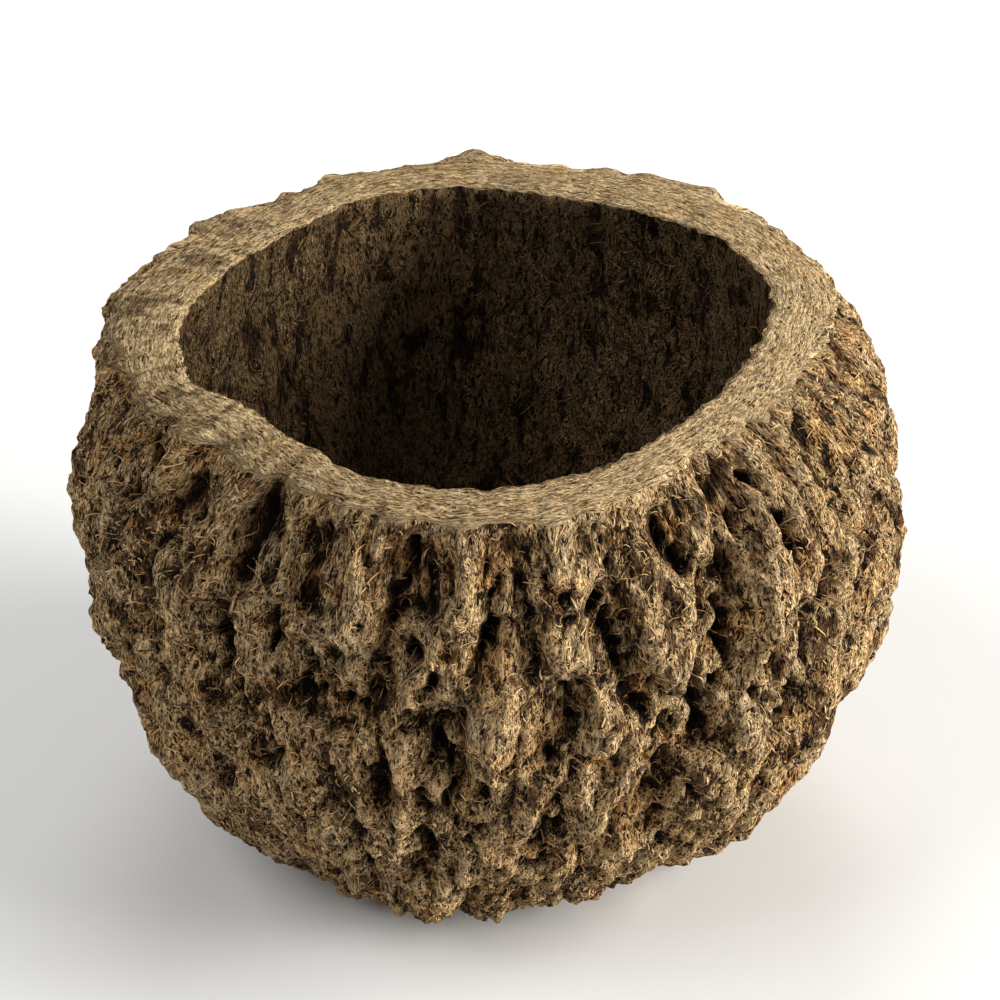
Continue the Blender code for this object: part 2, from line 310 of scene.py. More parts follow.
# Strands: how many, rings of points in each, ranges of length, radius and height over the skin,
# and how high a loose end stands. Then, in radians, which way they lie from the meridian, how
# far they turn from that, and how much they curl
Strands = namedtuple("Strands", "count rings length radius lift loose across turn curl")
SKIN_STRANDS = Strands(
    count=7000,
    rings=3,
    length=(1.2 * MM, 4.0 * MM),
    radius=(0.09 * MM, 0.22 * MM),
    lift=(0.0, 0.3 * MM),
    loose=0.5 * MM,
    across=0.0,
    turn=0.7,
    curl=0.4,
)
RIM_STRANDS = Strands(
    count=2400,
    rings=3,
    length=(1.5 * MM, 5.0 * MM),
    radius=(0.06 * MM, 0.13 * MM),
    lift=(0.0, 0.12 * MM),
    loose=0.4 * MM,
    across=np.pi / 2,
    turn=0.35,
    curl=0.2,
)
LINING_STRANDS = Strands(
    count=4600,
    rings=5,
    length=(2.5 * MM, 8.0 * MM),
    radius=(0.08 * MM, 0.16 * MM),
    lift=(0.0, 0.4 * MM),
    loose=0.8 * MM,
    across=0.0,
    turn=0.8,
    curl=0.3,
)

# Sides of a strand, how deep it is sunk in, how flat it is and how it tapers, the share of
# strands with a loose end, and the least height of such an end as a share of the highest
STRAND_SIDES = 3
STRAND_SINK = 0.12 * MM
STRAND_FLATNESS = 0.7
STRAND_TAPER = 0.5
LOOSE_SHARE = 0.06
LEAST_LOOSE = 0.2

# How strongly strands swirl, in radians, how often, and where in the noise that starts
SWIRL = 2.2
SWIRL_SPACING = 9 * MM
SWIRL_START = 5.1

# The empty border of a strand's cell on the sheet, as a share of the cell
CELL_MARGIN = 0.1

# How far short of the last row a place stays, in rows, and what keeps a divisor from nothing
SHORT_OF_LAST = 0.001
TINY = 1e-12

# Rows near the foot and near the middle of the floor that no strand starts from
FOOT_ROWS = 5
FLOOR_ROWS = 8

# Colours, linear
# Near-black painted shade for the openings and the deepest pits
PAINTED_SHADE_BLACK = (0.006, 0.0035, 0.0017, 1)
UMBER = (0.030, 0.014, 0.005, 1)
BARK = (0.115, 0.056, 0.019, 1)
TAN = (0.35, 0.202, 0.082, 1)
STRAW = (0.78, 0.53, 0.262, 1)
GREYING = (0.84, 0.89, 0.98, 1)
WARMING = (0.98, 0.76, 0.50, 1)
# Darkens rot patches, and on the skin also the pits, as painted shade
ROT_AND_PIT_SHADE = (0.24, 0.19, 0.15, 1)
CUT_TAN = (0.40, 0.265, 0.122, 1)
CUT_STRAW = (0.76, 0.55, 0.29, 1)
LINING_DARK = (0.009, 0.005, 0.0023, 1)
LINING_BROWN = (0.046, 0.027, 0.011, 1)
LINING_TAN = (0.26, 0.165, 0.076, 1)
FLOOR_PALE = (0.83, 0.83, 0.82, 1)
FLOOR_WHITE = (0.86, 0.86, 0.86, 1)
WARM_LIGHT = (1.0, 0.985, 0.95)
PLAIN_LIGHT = (1.0, 1.0, 1.0)

# Colours from dark to light, each with its place on the way
SKIN_SHADES = ((0.0, UMBER), (0.25, BARK), (0.58, TAN), (0.95, STRAW))
RIM_SHADES = ((0.0, BARK), (0.35, TAN), (0.65, CUT_TAN), (0.95, CUT_STRAW))
LINING_SHADES = ((0.0, LINING_DARK), (0.45, LINING_BROWN), (0.95, LINING_TAN))
LOOSE_SKIN_SHADES = ((0.0, UMBER), (0.4, TAN), (0.95, STRAW))
LOOSE_RIM_SHADES = ((0.0, BARK), (0.4, CUT_TAN), (0.95, CUT_STRAW))
LOOSE_LINING_SHADES = ((0.0, LINING_DARK), (0.4, LINING_BROWN), (0.95, TAN))

# A sum: a start, and how much each named mask adds to it
Sum = namedtuple("Sum", "start weights")

# How light each finish is, from 0 to 1. The tone is about a half in the middle
# The pit and gap weights darken the hollows and the fibres lying in them: painted shade
SKIN_LIGHTNESS = Sum(-1.72, {"Tone": 3.9, "Fibres": 1.05, "gap": -0.18, "pit": -0.12})
RIM_LIGHTNESS = Sum(-0.63, {"Tone": 2.3, "Fibres": 0.50, "gap": -0.25})
LINING_LIGHTNESS = Sum(-1.54, {"Tone": 3.4, "Fibres": 1.6, "gap": -0.2, "pit": -0.2})
LOOSE_LIGHTNESS = Sum(-0.52, {"shade": 0.6, "Tone": 1.3, "pit": -0.4})

# How far the slits between fibres stand open, painted near-black as shade; more in hollows
SKIN_OPENNESS = Sum(0.0, {"pit": 0.085, "gap": 0.051, "Grey": -0.02, "Rotten": 0.06})
RIM_OPENNESS = Sum(-0.05, {"gap": 0.05})
LINING_OPENNESS = Sum(0.0, {"pit": 0.08, "gap": 0.08, "Rotten": 0.06})

# How rough the surface is, how high the grain stands, and how little it shines
ROUGHNESS = Sum(0.97, {"Fibres": -0.12})
LOOSE_ROUGHNESS = Sum(0.92, {"level": -0.15})
GRAIN_HEIGHT = Sum(0.0, {"Fibres": 0.8, "Tone": 1.0})
SKIN_BUMP = 1.3 * MM
RIM_BUMP = 0.6 * MM
LINING_BUMP = 1.0 * MM
LOOSE_BUMP = 0.15 * MM
SPECULAR = 0.12

# Fibres to a metre across and along the pod, how far they are pushed aside, and how often
SKIN_GRAIN = {"Per_Metre": (800, 800, 270), "Curl": 2.3 * MM, "Curls_Per_Metre": 150.0}
RIM_GRAIN = {"Per_Metre": (190, 190, 1400), "Curl": 0.8 * MM, "Curls_Per_Metre": 120.0}
LINING_GRAIN = {"Per_Metre": (900, 900, 400), "Curl": 5.5 * MM, "Curls_Per_Metre": 110.0}
LOOSE_GRAIN = {**SKIN_GRAIN, "Per_Metre": (1400, 1400, 700)}

# A second curl on the first: how much more often, and how much smaller
TIGHTER_CURLS = 4.0
TIGHT_CURL = 0.26

# Octaves of the curls and lines, the finer noise of the tone and the blots, and the tone's rate
CURL_DETAIL = 1.5
FINE_NOISE = {"detail": 4.0, "roughness": 0.7}
TONE_RATE = 1.1

# Layers of fibres in the grain: stretch, start in the noise, width of a line, and how light
FIBRE_LAYERS = (
    ((1.0, 1.0, 1.0), (0.0, 0.0, 0.0), 0.085, 1.0),
    ((1.4, 1.4, 1.2), (13.7, 5.1, 9.3), 0.085, 0.9),
    ((2.3, 2.3, 1.6), (3.9, 11.3, 6.1), 0.09, 0.65),
)

# Openings in the grain: blots by stretch and start in the noise, the noise where one starts and
# where it is whole, how far a fibre closes one, the same for narrow chinks, and how dark they are
# The openings are painted near-black, as the shade inside them
BLOTS = ((0.9, 0.9, 0.8), (3.1, 7.7, 1.9))
BLOT_EDGES = (0.54, 0.58)
FIBRE_OVER_BLOT = -0.05
CHINKS = ((1.7, 1.7, 1.0), (8.3, 2.7, 5.9))
CHINK_WIDTH = 0.075
CHINK_DARKNESS = 0.95
OPENING_DARKNESS = 0.97

# Patches of age: stretch, start in the noise, patches to a metre, octaves, roughness, and the
# noise where a patch starts and where it is whole
Patches = namedtuple("Patches", "stretch start per_metre detail roughness low high")
AGEING = {
    "Grey": Patches((1, 1, 1), (0, 0, 0), 75.0, 4.0, 0.6, 0.44, 0.58),
    "Rusty": Patches((1, 1, 1), (0.31, 0.17, 0.23), 110.0, 5.0, 0.7, 0.46, 0.62),
    "Rotten": Patches((1, 1, 0.6), (0.07, 0.41, 0.13), 170.0, 5.0, 0.7, 0.50, 0.60),
}

# How strongly each finish shows them
SKIN_GREY = 0.8
RIM_GREY = 0.4
RIM_RUSTY = 0.25
LINING_RUSTY = 0.4

# Pits and gaps: rusty, then brown and near-black painted shade; where that starts and is whole
RUSTY_PITS = (-0.9, 0.3)
BROWN_PIT_SHADE = (-0.05, 0.5)
BLACK_PIT_SHADE = (0.25, 0.9)
BLACK_GAP_SHADE = (0.5, 1.2)

# Patches darken the rim, more on its left: from where on, to where wholly, how much, and how much
# elsewhere
LEFT_DARKENING_EDGES = (-20 * MM, -70 * MM)
LEFT_DARKENING = 0.65
DARKENING_ELSEWHERE = 0.10

# The floor: half its side, how dull it is, and from where to where it fades to white: painted light
FLOOR_HALF = 3.0
FLOOR_DULL = 0.9
FLOOR_FADE = (0.12, 0.6)

# Soft lights: place, where they aim, size, watts and colour
Light = namedtuple("Light", "place aim size watts colour")
LIGHTS = {
    "key": Light((1.6, 0.0, 1.0), (0, 0, 0.05), 0.8, 22, WARM_LIGHT),
    "side": Light((1.4, -0.35, 0.34), (0, 0, 0.05), 0.6, 31, WARM_LIGHT),
    "overhead": Light((-1.4, -0.55, 1.8), (0, 0, 0), 1.5, 26, PLAIN_LIGHT),
    "backdrop": Light((0, 0.95, 0.9), (0, 0.5, 0), 0.6, 6, PLAIN_LIGHT),
}
ROOM_LIGHT = 0.18

# The camera, fitted to the outline and the rim in the photograph
CAMERA_AIM = (0, 0, 0.068)
CAMERA_ELEVATION = 32.4
CAMERA_DISTANCE = 0.6275
CAMERA_SENSOR = 36
CAMERA_LENS = 114.6
CAMERA_SHIFT = 0.0112
CAMERA_NEAR = 0.01

SEED = 11
CHANCE = np.random.default_rng(SEED)
SHUFFLED = CHANCE.permutation(256)
SLOPES = CHANCE.normal(size=(256, 3))
SLOPES /= np.linalg.norm(SLOPES, axis=1)[:, None]


# The form of the husk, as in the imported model


def smooth_step(value):
    value = np.clip(value, 0, 1)
    return value * value * (3 - 2 * value)


def lattice_noise(places):
    """Smooth noise between about -0.7 and 0.7, with one hill or dip to a unit."""
    cell = np.floor(places).astype(int)
    within = places - cell
    blend = within**3 * (within * (within * 6 - 15) + 10)
    total = np.zeros(places.shape[:-1])
    for corner in np.ndindex(2, 2, 2):
        x, y, z = np.moveaxis(cell + corner, -1, 0)
        slope = SLOPES[SHUFFLED[(SHUFFLED[(SHUFFLED[x % 256] + y) % 256] + z) % 256]]
        share = np.where(np.array(corner) == 1, blend, 1 - blend).prod(axis=-1)
        total += share * (slope * (within - corner)).sum(axis=-1)
    return total


def on_skin(azimuth, along, spacing_across, spacing_along, start=0.0):
    """Places in the noise. They follow the meridians, so that ribs close up at the foot."""
    azimuth, along = np.broadcast_arrays(azimuth, along)
    angle = np.radians(azimuth)
    across = WIDEST_RADIUS / spacing_across
    places = [across * np.sin(angle), -across * np.cos(angle), along / spacing_along]
    return np.stack(places, axis=-1) + start


def folds(places):
    """Rounded folds with sharp valleys between them, from -1 in a valley to about 1."""
    return FOLD_HEIGHT * np.abs(lattice_noise(places)) ** FOLD_ROUNDNESS - 1


def turn_between(azimuth, other):
    """Degrees from one azimuth to another, the short way."""
    return (azimuth - other + 180) % 360 - 180


def around(mean, waves, azimuth):
    """A radius that varies round the pod."""
    turns = [size * np.cos(count * np.radians(azimuth - crest)) for count, size, crest in waves]
    return mean + sum(turns)


def bumps(azimuth, listed):
    """Bumps that stand alone, each at its own azimuth."""
    total = np.zeros_like(azimuth, dtype=float)
    for crest, size, width in listed:
        total += size * np.exp(-((turn_between(azimuth, crest) / width) ** 2))
    return total


def mouth_radius(azimuth):
    return around(MOUTH_RADIUS, MOUTH_WAVES, azimuth) + bumps(azimuth, MOUTH_CORNERS)


def rim_height(azimuth):
    """The cut dips a little towards the front."""
    size, spacing = RIM_WAVINESS
    waviness = size * lattice_noise(on_skin(azimuth, 0, spacing, spacing))
    return HEIGHT - RIM_SAG * (0.5 + 0.5 * np.cos(np.radians(azimuth))) + waviness


def rim_slope(azimuth):
    """How far the outer edge of the cut lies below its inner edge."""
    return RIM_SLOPE + bumps(azimuth, RIM_SHOULDERS)


def even_rows(radius, height, count):
    """Columns of points resampled at even distances, and how far along each one is."""
    steps = np.hypot(np.diff(radius, axis=0), np.diff(height, axis=0))
    lengths = np.concatenate([np.zeros((1, radius.shape[1])), np.cumsum(steps, axis=0)])
    along = np.linspace(0, 1, count + 1)[:, None] * lengths[-1]
    even_radius, even_height = np.empty_like(along), np.empty_like(along)
    for column in range(radius.shape[1]):
        even_radius[:, column] = np.interp(along[:, column], lengths[:, column], radius[:, column])
        even_height[:, column] = np.interp(along[:, column], lengths[:, column], height[:, column])
    return even_radius, even_height, along


def outward(radius, height):
    """Unit normals of columns of points, to the right of the way they are walked."""
    run = np.gradient(radius, axis=0)
    rise = np.gradient(height, axis=0)
    length = np.hypot(run, rise)
    return rise / length, -run / length


def flank_form(azimuth):
    """The smooth outside, from the flat base up to the outer edge of the rim."""
    rim = around(RIM_RADIUS, RIM_WAVES, azimuth)
    top = rim_height(azimuth) - rim_slope(azimuth)
    height = np.linspace(0, 1, FINE_STEPS + 1)[:, None] * top
    below = (1 - np.minimum(height / WIDEST_HEIGHT, 1)) ** FLANK_POWER
    above = np.clip((height - WIDEST_HEIGHT) / (top - WIDEST_HEIGHT), 0, 1) ** SHOULDER_POWER
    rounding = (1 - np.minimum(height / BASE_ROUNDING, 1)) ** 2
    foot = around(FOOT_RADIUS, FOOT_WAVES, azimuth)
    widest = around(WIDEST_RADIUS, WIDEST_WAVES, azimuth)
    radius = widest - (widest - foot) * below - (widest - rim) * above
    return radius - (foot - BASE_RADIUS) * rounding, height


def hollow_form(azimuth):
    """The smooth inside, from the mouth down to the middle of the floor."""
    top = rim_height(azimuth)
    mouth = mouth_radius(azimuth)
    deep, wide = HOLLOW_POWERS
    angle = np.linspace(0, np.pi / 2, FINE_STEPS + 1)[:, None]
    depth = np.sin(angle) ** (2 / deep)
    lobes = HOLLOW_LOBE_DEPTH * np.cos(HOLLOW_LOBES * np.radians(azimuth - HOLLOW_LOBE_CREST))
    for crest, drift, size, width in HOLLOW_RIDGES:
        beside = turn_between(azimuth, crest + drift * depth)
        lobes = lobes - size * np.exp(-((beside / width) ** 2))
    radius = mouth * (1 + HOLLOW_SWELL * 4 * depth * (1 - depth)) + lobes * smooth_step(2 * depth)
    return radius * np.cos(angle) ** (2 / wide), top - (top - FLOOR_THICKNESS) * depth


def scattered(kind):
    """Furrows or cracks like the ones listed, scattered over the sides and the back."""
    found = []
    for _ in range(kind.count):
        azimuth = CHANCE.uniform(STRAY_FRONT, 360 - STRAY_FRONT)
        top = CHANCE.uniform(*kind.tops)
        lean = CHANCE.uniform(-STRAY_LEAN, STRAY_LEAN)
        length = CHANCE.uniform(*kind.lengths)
        width = CHANCE.uniform(*kind.widths)
        depth = CHANCE.uniform(*kind.depths)
        found.append((azimuth, top, azimuth + lean, top - length, width, depth))
    return found


def legs(cracks):
    """Bent cracks as straight ones, given as the furrows are."""
    found = []
    for width, depth, *points in cracks:
        for start, end in zip(points, points[1:]):
            found.append((*start, *end, width, depth))
    return found


ALL_FURROWS = scattered(STRAY_FURROWS) + list(FURROWS)
ALL_CRACKS = scattered(STRAY_CRACKS) + legs(CRACKS)


def furrow_depth(azimuth, height, furrows, edge):
    """How deep the deepest furrow goes at each point of the skin."""
    deepest = np.zeros_like(height)
    scale = np.radians(1) * WIDEST_RADIUS
    for start_azimuth, start, end_azimuth, end, width, depth in furrows:
        across = turn_between(azimuth, start_azimuth) * scale
        up = height - start * MM
        way_across = turn_between(end_azimuth, start_azimuth) * scale
        way_up = (end - start) * MM
        share = (across * way_across + up * way_up) / (way_across**2 + way_up**2)
        share = np.clip(share, 0, 1)
        gap = np.hypot(across - share * way_across, up - share * way_up)
        depths = depth * MM * smooth_step((1 - gap / (width * MM)) / edge)
        deepest = np.maximum(deepest, depths)
    return deepest


def relief(kind, azimuth, along):
    """Plain bumps and dips of one kind."""
    return kind[0] * lattice_noise(on_skin(azimuth, along, *kind[1:]))


def folded(kind, azimuth, along):
    """Rounded folds of one kind, from half their size below the skin to half above it."""
    return 0.5 * kind[0] * folds(on_skin(azimuth, along, *kind[1:]))


def skin_relief(azimuth, height, along):
    """How far the weathered skin stands out from the smooth form."""
    leaning = azimuth + np.degrees(relief(WANDER, azimuth, along) / WIDEST_RADIUS)
    out = relief(SWELL, azimuth, along)
    out += folded(RIBS, leaning, along)
    out += folded(KNOBS, leaning, along)
    out -= furrow_depth(azimuth, height, ALL_FURROWS, FURROW_EDGE)
    out *= 1 - (1 - CALM_SHARE) * smooth_step(1 - (along[-1] - along) / CALM_REACH)
    near_rim = smooth_step(1 - (HEIGHT - height) / RIM_KNOB_REACH)
    out += bumps(azimuth, RIM_KNOBS) * near_rim
    return out * smooth_step(along / RELIEF_FADE)


def placed(azimuth, radius, height):
    """Rows of columns of points in space."""
    azimuth, radius, height = np.broadcast_arrays(azimuth, radius, height)
    angle = np.radians(azimuth)
    return np.stack([radius * np.sin(angle), -radius * np.cos(angle), height], axis=-1)


def plain_middle():
    """Where the middle of the plain husk's outline lies before it is centred."""
    azimuth = np.arange(PLAIN_COLUMNS) * 360 / PLAIN_COLUMNS
    radius, height, along = even_rows(*flank_form(azimuth), PLAIN_ROWS)
    side, up = outward(radius, height)
    side[-1], up[-1] = 1, 0
    out = skin_relief(azimuth, height, along)
    points = placed(azimuth, radius + out * side, height + out * up).reshape(-1, 3)
    return (points.min(axis=0) + points.max(axis=0)) / 2 * (1, 1, 0)


# The finer relief of the body


def swirled(azimuth, along):
    """The same skin with its fibres pushed sideways and along, so that they curl."""
    across = relief(CURL_WANDER, azimuth, along)
    down = relief(CURL_WANDER, azimuth, -along)
    return azimuth + np.degrees(across / WIDEST_RADIUS), along + down


def pore_depth(kind, azimuth, along):
    """Holes with steep lips and flat bottoms."""
    inside = relief((1.0, *kind[1:]), azimuth, along)
    return kind[0] * smooth_step((inside - PORE_LIP) / (PORE_BOTTOM - PORE_LIP))


def crack_depth(azimuth, height, along):
    """How deep the cracks go. Their edges are ragged, and they close here and there."""
    across = azimuth + np.degrees(relief(CRACK_RAGGEDNESS, azimuth, along) / WIDEST_RADIUS)
    up = height + relief(CRACK_RAGGEDNESS, azimuth, -along)
    open_here = smooth_step(CRACKS_OPEN + relief(CRACK_BREAKS, azimuth, along))
    return furrow_depth(across, up, ALL_CRACKS, CRACK_EDGE) * open_here


def fine_skin_relief(azimuth, height, along):
    """Crumbs, curled fibres, cracks and deep pores of the rotted skin."""
    azimuth, along = np.broadcast_arrays(azimuth, along)
    below_rim = along[-1] - along
    curled, pushed = swirled(azimuth, along)
    ragged = curled + np.degrees(relief(CRACK_RAGGEDNESS, azimuth, along) / WIDEST_RADIUS)
    out = folded(CRUMBS, curled, pushed) + folded(CURLS, curled, pushed)
    out += relief(GRIT, azimuth, along)
    often = PORES_OPEN + relief(PORE_PATCHES, azimuth, along)
    often = smooth_step(often + PORES_UNDER_RIM * smooth_step(1 - below_rim / TOP_REACH))
    out -= often * pore_depth(PORES, ragged, pushed) + pore_depth(SMALL_PORES, curled, pushed)
    out -= crack_depth(azimuth, height, along)
    calm = 1 - (1 - CALM_SHARE) * smooth_step(1 - below_rim / FINE_CALM_REACH)
    out = np.where(out < 0, out * calm, out)
    lumps = np.maximum(relief(RIM_LUMPS, azimuth, along), -RIM_DENT)
    out += lumps * smooth_step(1 - below_rim / RIM_LUMP_REACH)
    return out * smooth_step(FOOT_SHARE + along / RELIEF_FADE)


def blurred(values, rows, columns):
    """A grid smoothed over so many rows and columns; its columns go all the way round."""
    mirrored = np.concatenate([values, values[::-1]])
    row_rate = np.fft.fftfreq(len(mirrored))[:, None]
    column_rate = np.fft.rfftfreq(values.shape[1])
    kept = np.exp(-2 * np.pi**2 * ((row_rate * rows) ** 2 + (column_rate * columns) ** 2))
    return np.fft.irfft2(np.fft.rfft2(mirrored) * kept, s=mirrored.shape)[: len(values)]


def depths(out, row_step, column_step):
    """How far each point lies below its wider and its nearer neighbourhood."""
    wider = blurred(out, PIT_REACH / row_step / 2, PIT_REACH / column_step / 2)
    nearer = blurred(out, GAP_REACH / row_step / 2, GAP_REACH / column_step / 2)
    return (wider - out) / PIT_SCALE, (nearer - out) / GAP_SCALE


# A part of the body: its rows of points, where each lies on the fibres, and how deep it lies
Patch = namedtuple("Patch", "points place pit gap")


def fibre_place(azimuth, spread, distance):
    """Where points lie on the unrolled fibres. Spread is 1, or less towards a middle."""
    azimuth, spread, distance = np.broadcast_arrays(azimuth, spread, distance)
    return placed(azimuth, WIDEST_RADIUS * spread, distance)


def skin_patch(azimuth):
    radius, height, along = even_rows(*flank_form(azimuth), FLANK_ROWS)
    side, up = outward(radius, height)
    level = smooth_step(1 - (along[-1] - along) / TOP_REACH)
    side, up = side + (1 - side) * level, up * (1 - level)
    out = skin_relief(azimuth, height, along) + fine_skin_relief(azimuth, height, along)
    out[0] = 0
    points = placed(azimuth, radius + out * side, np.maximum(height + out * up, 0))
    row_step, column_step = along[-1].mean() / FLANK_ROWS, 2 * np.pi * WIDEST_RADIUS / COLUMNS
    place = fibre_place(azimuth, 1 + out / WIDEST_RADIUS, along)
    return Patch(points, place, *depths(out, row_step, column_step))


def rim_patch(azimuth, skin):
    """The cut face, from next to the skin's own edge up to the mouth."""
    edge = skin.points[-1]
    outer = np.hypot(edge[:, 0], edge[:, 1])
    mouth = mouth_radius(azimuth)
    share = np.linspace(0, 1, RIM_ROWS + 1)[1:, None]
    radius = outer + (mouth - outer) * share
    height = rim_height(azimuth) - rim_slope(azimuth) * (1 - share) ** 2
    distance = (skin.place[-1, :, 2] + outer - mouth).mean() + mouth - radius
    radius = radius + share**MOUTH_POWER * relief(RAGGED_MOUTH, azimuth, distance)
    out = relief(RIM_RIPPLES, azimuth, distance) + relief(RIM_GRIT, azimuth, distance)
    points = placed(azimuth, radius, height + out)
    return Patch(points, fibre_place(azimuth, 1, distance), -out / GAP_SCALE, -out / GAP_SCALE)


def lining_patch(azimuth, rim):
    radius, height, along = even_rows(*hollow_form(azimuth), HOLLOW_ROWS + 1)
    side, up = outward(radius, height)
    curled, pushed = swirled(azimuth, along)
    out = relief(HOLLOW_RELIEF, azimuth, along) + relief(LINING_GRIT, azimuth, along)
    out = (out + folded(LINING_FOLDS, curled, pushed)) * np.clip(radius / MOUTH_RADIUS, 0, 1)
    spread = np.minimum(radius / MOUTH_RADIUS, 1)
    place = fibre_place(azimuth, spread + out / WIDEST_RADIUS, rim.place[-1, ::2, 2] + along)
    points = placed(azimuth, radius + out * side, height + out * up)
    row_step = along[-1].mean() / HOLLOW_ROWS
    column_step = 2 * np.pi * MOUTH_RADIUS / len(azimuth)
    pit, gap = depths(-out, row_step, column_step)
    return Patch(*(grid[1:-1] for grid in (points, place, pit, gap)))


def base_patch(azimuth, ring):
    """One ring of the flat underside."""
    share = 1 - ring / (BASE_RINGS + 1)
    points = placed(azimuth, BASE_RADIUS * share, 0.0)
    level = np.zeros_like(azimuth)
    return Patch(points[None], fibre_place(azimuth, share, 0.0)[None], level[None], level[None])


# Faces of the body, and where they lie on the unrolled sheet


def sheet_corners(strips, columns, count, height_share):
    """Places on the sheet of points given by column, each in the strip that its face is in."""
    strip = (columns.mean(axis=1) / count * len(strips)).astype(int)
    left, bottom, width, height = np.array(strips)[strip].T[..., None]
    across = columns / count * len(strips) - strip[:, None]
    return np.stack([left + width * across, bottom + height * height_share], axis=-1)


def disc_corners(middle, count):
    """A small disc on the sheet for the face in the middle of the underside or the floor."""
    angle = np.linspace(0, 2 * np.pi, count, endpoint=False)
    circle = np.stack([np.cos(angle), np.sin(angle)], axis=-1)
    return np.array(middle) + DISC_RADIUS * circle


def ring_faces(strips, lower, upper, low_share, high_share):
    """Faces between two rings of points, with their corners on the sheet.

    The rings have as many points as each other, or one of them has half as many."""
    count, fewest = max(len(lower), len(upper)), min(len(lower), len(upper))
    pattern, on_upper = FACE_PATTERNS[len(upper) / len(lower)]
    column = np.arange(0, count, count // fewest)[:, None, None]
    columns = (column + np.array(pattern)).reshape(-1, len(pattern[0]))
    on_upper = np.tile(on_upper, (fewest, 1)) == 1
    low_index = lower[(columns * len(lower) // count) % len(lower)]
    high_index = upper[(columns * len(upper) // count) % len(upper)]
    faces = np.where(on_upper, high_index, low_index)
    shares = np.where(on_upper, high_share, low_share)
    return faces, sheet_corners(strips, columns, count, shares)


def body_rings(patches):
    """The rings of all patches one after another, each with what is known of its points."""
    return [Patch(*ring) for patch in patches for ring in zip(*patch)]


def body_piece(patches, shift, materials):
    """The closed body: base, flank, rim and hollow in one mesh."""
    rings = body_rings(patches)
    starts = np.cumsum([0] + [len(ring.points) for ring in rings])
    indices = [np.arange(start, stop) for start, stop in zip(starts, starts[1:])]
    faces = [indices[0][::-1].tolist()]
    corners = [disc_corners(UNDERSIDE_DISC, len(indices[0]))]
    finishes = [PARTS[0].finish]
    first = 0
    for part in PARTS:
        shares = np.linspace(0, 1, part.steps + 1)
        for step in range(part.steps):
            lower, upper = indices[first + step], indices[first + step + 1]
            made, places = ring_faces(part.strips, lower, upper, shares[step], shares[step + 1])
            faces += made.tolist()
            corners.append(places.reshape(-1, 2))
            finishes += [part.finish] * len(made)
        first += part.steps
    faces.append(indices[-1].tolist())
    corners.append(disc_corners(FLOOR_DISC, len(indices[-1])))
    finishes.append(PARTS[-1].finish)
    points, place, pit, gap = (np.concatenate(values) for values in zip(*rings))
    values = {"place": place, "pit": pit, "gap": gap}
    corners = np.concatenate(corners)
    piece = mesh_piece("husk_body", points - shift, faces, corners, values, materials)
    piece.data.polygons.foreach_set("material_index", np.array(finishes, dtype=np.int32))
    return piece


def mesh_piece(name, points, faces, corners, values, materials):
    """A mesh with smooth faces, its unrolled sheet and its values, as an object on the pod."""
    mesh = bpy.data.meshes.new(name)
    mesh.from_pydata(points.tolist(), [], faces)
    sheet = mesh.uv_layers.new(name="OFBake")
    sheet.uv.foreach_set("vector", corners.astype(np.float32).ravel())
    for label, value in values.items():
        kind, field = ("FLOAT", "value") if value.ndim == 1 else ("FLOAT_VECTOR", "vector")
        made = mesh.attributes.new(label, kind, "POINT")
        made.data.foreach_set(field, value.astype(np.float32).ravel())
    for material in materials:
        mesh.materials.append(material)
    mesh.shade_smooth()
    piece = bpy.data.objects.new(name, mesh)
    bpy.context.collection.objects.link(piece)
    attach(piece, "root")
    return piece


# Loose fibres


def sampled(grid, row, column):
    """Values of a grid between its points; its columns go all the way round.

    A place stays a little short of the last row, so that a row always lies beyond it."""
    row = np.clip(row, 0, len(grid) - 1 - SHORT_OF_LAST)
    low_row = np.floor(row).astype(int)
    low_column = np.floor(column).astype(int)
    down, right = row - low_row, column - low_column
    if grid.ndim == 3:
        down, right = down[:, None], right[:, None]
    first, beside = low_column % grid.shape[1], (low_column + 1) % grid.shape[1]
    upper = grid[low_row, first] * (1 - right) + grid[low_row, beside] * right
    lower = grid[low_row + 1, first] * (1 - right) + grid[low_row + 1, beside] * right
    return upper * (1 - down) + lower * down


def grid_normals(points):
    """Normals of a grid of points, out of the material."""
    across = np.roll(points, -1, axis=1) - np.roll(points, 1, axis=1)
    along = np.gradient(points, axis=0)
    normals = np.cross(across, along)
    return normals / np.linalg.norm(normals, axis=-1, keepdims=True)


def unit(vectors):
    """Vectors made 1 long. One of no length stays as it is."""
    return vectors / (np.linalg.norm(vectors, axis=-1, keepdims=True) + TINY)


# What chance gives each strand: where it starts, its size, its loose end, its way and its shade
Drawn = namedtuple("Drawn", "row column length radius lift loose heading curl shade")


def drawn_strands(kind, rows, columns):
    count = kind.count
    row = CHANCE.uniform(*rows, count)
    column = CHANCE.uniform(*columns, count)
    length = CHANCE.uniform(*kind.length, count)
    radius = CHANCE.uniform(*kind.radius, count)
    lift = CHANCE.uniform(*kind.lift, count)
    loose = kind.loose * CHANCE.uniform(LEAST_LOOSE, 1, count)
    loose *= CHANCE.random(count) < LOOSE_SHARE
    heading = kind.across + kind.turn * CHANCE.normal(size=count)
    curl = kind.curl * CHANCE.normal(size=count)
    return Drawn(row, column, length, radius, lift, loose, heading, curl, CHANCE.random(count))


